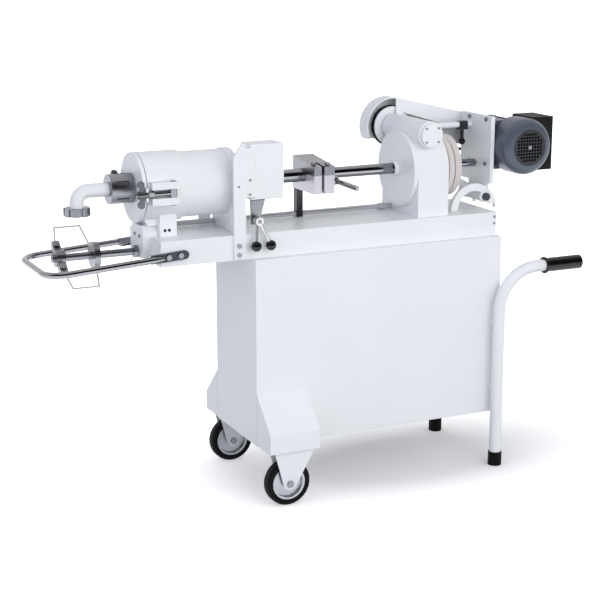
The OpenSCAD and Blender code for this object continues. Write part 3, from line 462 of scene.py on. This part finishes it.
screws("motor_plate_screws", "motor_plate", LEFT,
       [(PLATE_FACE_X, y, z) for y in (-43, 45) for z in (845, 970)], radius=6.0, height=4.0)
screws("control_box_rivets", "control_box", NEAR,
       [(-67, BOX_FACE_Y, z) for z in (825, 862)], radius=3.2, height=2.0)
screws("bed_end_screws", "bed", NEAR,
       [(671, BED_FACE_Y, z) for z in (690.5, 709)], radius=3.6, height=1.6)
screws("front_support_screws", "front_support", NEAR,
       [(x, SUPPORT_FACE_Y, 739) for x in (-279, -267.5)], radius=4.0, height=0.8,
       finish=blackened_steel_and_painted_shade)
screws("bearing_block_screws", "bearing_block", LEFT,
       [(BLOCK_FACE_X, y, BED_TOP) for y in (-18, 18)], radius=4.6, height=14.5)
screws("worm_cap_screws", "worm_caps", NEAR,
       [(CAP_AXIS[0] + CAP_RING * math.cos(a), CAP_FACE_Y, CAP_AXIS[1] + CAP_RING * math.sin(a))
        for a in CAP_ANGLES], radius=3.2, height=1.2)


# ---- studio ----

FLOOR_HALF = 12.0
# Tone of the paper for the light that it throws back at the machine, which is less than it shows.
PAPER_BOUNCE = "#A9A9AB"
# The seen paper gives off a little light by itself, and fades to plain white between these radii
# of an oval round the shadow, given in metres.
PAPER_GLOW = 0.02
PAPER_FADE = (0.16, 0.62)
SHADOW_MIDDLE = (0.3, -0.02)
SHADOW_SQUEEZE = 0.55

# Tint of the room from the outlet side to the drive side, its strength from the machine's level to
# overhead, and the share of it from in front and from behind. A range is a span of X, Y or Z of
# the direction that is looked in.
ROOM_TINT, TINT_X = ("#E2E6F6", "#FDFDFE"), (-0.8, 0.2)
ROOM_STRENGTH = (1.34, 0.5)
ROOM_SHARE, SHARE_Y = (1.0, 0.58), (-0.3, 0.6)
# Ranges over which the room that bright metal mirrors turns from dark to white.
MIRROR_Y, MIRROR_Z = (-0.45, 0.25), (0.72, 0.9)

# Camera solved from the photograph: place in metres in the row frame, turn and fall in degrees.
CAMERA_PLACE = (-1.7227, -3.5979, 1.4756)
CAMERA_TURN = 25.25
CAMERA_FALL = 13.77
PHOTO_SIDE = 600
FOCAL_PIXELS = 1499.7
SENSOR = 36.0


def paper_floor():
    """Lays white paper that shows the machine's shadow and is plain white away from it."""
    mesh = bpy.data.meshes.new("floor")
    corners = [(-FLOOR_HALF, -FLOOR_HALF, 0), (FLOOR_HALF, -FLOOR_HALF, 0),
               (FLOOR_HALF, FLOOR_HALF, 0), (-FLOOR_HALF, FLOOR_HALF, 0)]
    mesh.from_pydata(corners, [], [(0, 1, 2, 3)])
    floor = link_object("floor", mesh)
    floor_paper = bpy.data.materials.new("white paper sweep")
    tree = empty_tree(floor_paper)
    ray = add_node(tree, "ShaderNodeLightPath").outputs
    seen = combine(tree, "MAXIMUM", ray["Is Camera Ray"], ray["Is Glossy Ray"])
    place = add_node(tree, "ShaderNodeTexCoord").outputs["Object"]
    middle = (-SHADOW_SQUEEZE * SHADOW_MIDDLE[0], -SHADOW_MIDDLE[1], 0.0)
    oval = add_node(tree, "ShaderNodeMapping",
                    values={"Scale": (SHADOW_SQUEEZE, 1.0, 1.0), "Location": middle},
                    links={"Vector": place})
    away = add_node(tree, "ShaderNodeVectorMath", {"operation": "LENGTH"},
                    links={0: oval.outputs["Vector"]})
    fade = ramp(tree, away.outputs["Value"], PAPER_FADE, (PAPER_GLOW, 1.0))
    glow = combine(tree, "MULTIPLY", seen, fade)
    paper = add_node(tree, "ShaderNodeBsdfPrincipled",
                     values={"Roughness": 0.9, "Specular IOR Level": 0.0,
                             "Emission Color": linear(WHITE)},
                     links={"Base Color": mix_tones(tree, seen, (PAPER_BOUNCE, WHITE)),
                            "Emission Strength": glow})
    add_node(tree, "ShaderNodeOutputMaterial", links={"Surface": paper.outputs["BSDF"]})
    mesh.materials.append(floor_paper)


def studio_room():
    """Puts a lit room round the machine, with a white backdrop for the camera."""
    world = bpy.data.worlds.new("studio")
    bpy.context.scene.world = world
    tree = empty_tree(world)
    ray = add_node(tree, "ShaderNodeLightPath").outputs
    toward = add_node(tree, "ShaderNodeSeparateXYZ",
                      links={"Vector": add_node(tree, "ShaderNodeTexCoord").outputs["Generated"]})
    toward_x, toward_y, toward_z = (toward.outputs[axis] for axis in "XYZ")
    # The room is cooler and dimmer on the outlet side, and dims overhead and behind the machine.
    tint = mix_tones(tree, ramp(tree, toward_x, TINT_X), ROOM_TINT)
    level = combine(tree, "MULTIPLY", ramp(tree, toward_z, result=ROOM_STRENGTH),
                    ramp(tree, toward_y, SHARE_Y, ROOM_SHARE))
    room = add_node(tree, "ShaderNodeBackground", links={"Color": tint, "Strength": level})
    # Bright metal mirrors a dark studio in front and white paper overhead and behind.
    shine = combine(tree, "MAXIMUM", ramp(tree, toward_y, MIRROR_Y),
                    ramp(tree, toward_z, MIRROR_Z))
    mirrored = add_node(tree, "ShaderNodeBackground", values={"Color": linear(WHITE)},
                        links={"Strength": shine})
    backdrop = add_node(tree, "ShaderNodeBackground",
                        values={"Color": linear(WHITE), "Strength": 1.0})
    lit = add_node(tree, "ShaderNodeMixShader",
                   links={"Fac": ray["Is Glossy Ray"], 1: room.outputs["Background"],
                          2: mirrored.outputs["Background"]})
    shown = add_node(tree, "ShaderNodeMixShader",
                     links={"Fac": ray["Is Camera Ray"], 1: lit.outputs["Shader"],
                            2: backdrop.outputs["Background"]})
    add_node(tree, "ShaderNodeOutputWorld", links={"Surface": shown.outputs["Shader"]})


def soft_lamp(name, place, aim, size, watts):
    """Hangs a square area lamp that looks at a point."""
    data = bpy.data.lights.new(name, "AREA")
    data.size = size
    data.energy = watts
    lamp = bpy.data.objects.new(name, data)
    lamp.location = place
    # The lamp itself isn't mirrored in the steel, which shows the dark room in front instead.
    lamp.visible_glossy = False
    lamp.rotation_euler = (Vector(aim) - Vector(place)).to_track_quat("-Z", "Y").to_euler()
    bpy.context.scene.collection.objects.link(lamp)


def photo_camera():
    """Sets up the camera of the photograph."""
    data = bpy.data.cameras.new("photo camera")
    data.sensor_width = SENSOR
    data.lens = FOCAL_PIXELS / PHOTO_SIDE * SENSOR
    camera = bpy.data.objects.new("photo camera", data)
    camera.location = CAMERA_PLACE
    camera.rotation_euler = (math.radians(90 - CAMERA_FALL), 0, math.radians(-CAMERA_TURN))
    bpy.context.scene.collection.objects.link(camera)
    bpy.context.scene.camera = camera


paper_floor()
studio_room()
# A main light on the near side, a low one on the far side and a weak one on the outlet end.
soft_lamp("front softbox", place=(0.1, -2.8, 1.5), aim=(0, 0, 0.85), size=2.2, watts=28)
soft_lamp("back softbox", place=(0.3, 3.6, 0.9), aim=(0, 0, 0.6), size=2.4, watts=18)
soft_lamp("outlet side softbox", place=(-3.6, -0.8, 1.2), aim=(0, 0, 0.5), size=2.2, watts=10)
photo_camera()
bpy.context.scene.view_settings.view_transform = "Standard"
